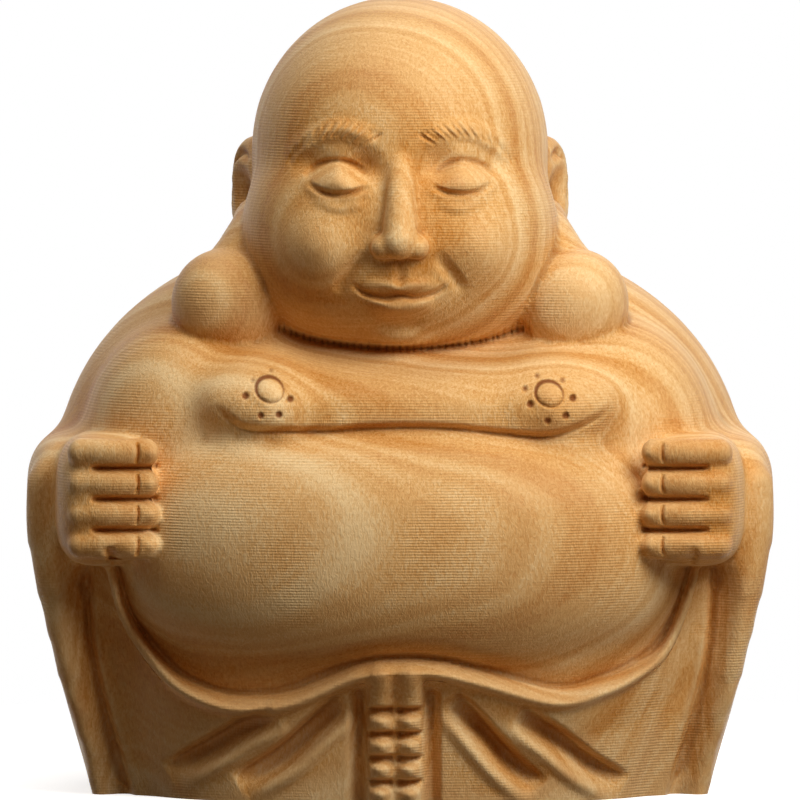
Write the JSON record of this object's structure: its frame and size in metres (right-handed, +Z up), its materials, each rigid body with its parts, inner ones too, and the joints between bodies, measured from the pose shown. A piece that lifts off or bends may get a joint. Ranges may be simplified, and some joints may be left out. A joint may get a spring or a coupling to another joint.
{
  "type": "laughing buddha carving",
  "caption": "Hand-sized wood carving of a plump laughing monk who holds his robe open below a bare belly; stands on its flat sawn base.",
  "frame": {"origin": "middle of the flat sawn base, under the figure's centre line", "axes": "+Z up through the crown of the head, -Y the way the figure faces, +X towards the viewer's right"},
  "size_m": [0.0744, 0.049, 0.0791],
  "materials": {
    "boxwood": "satin"
  },
  "bodies": {
    "root": {"carved_figure": "boxwood"}
  },
  "joints": []
}
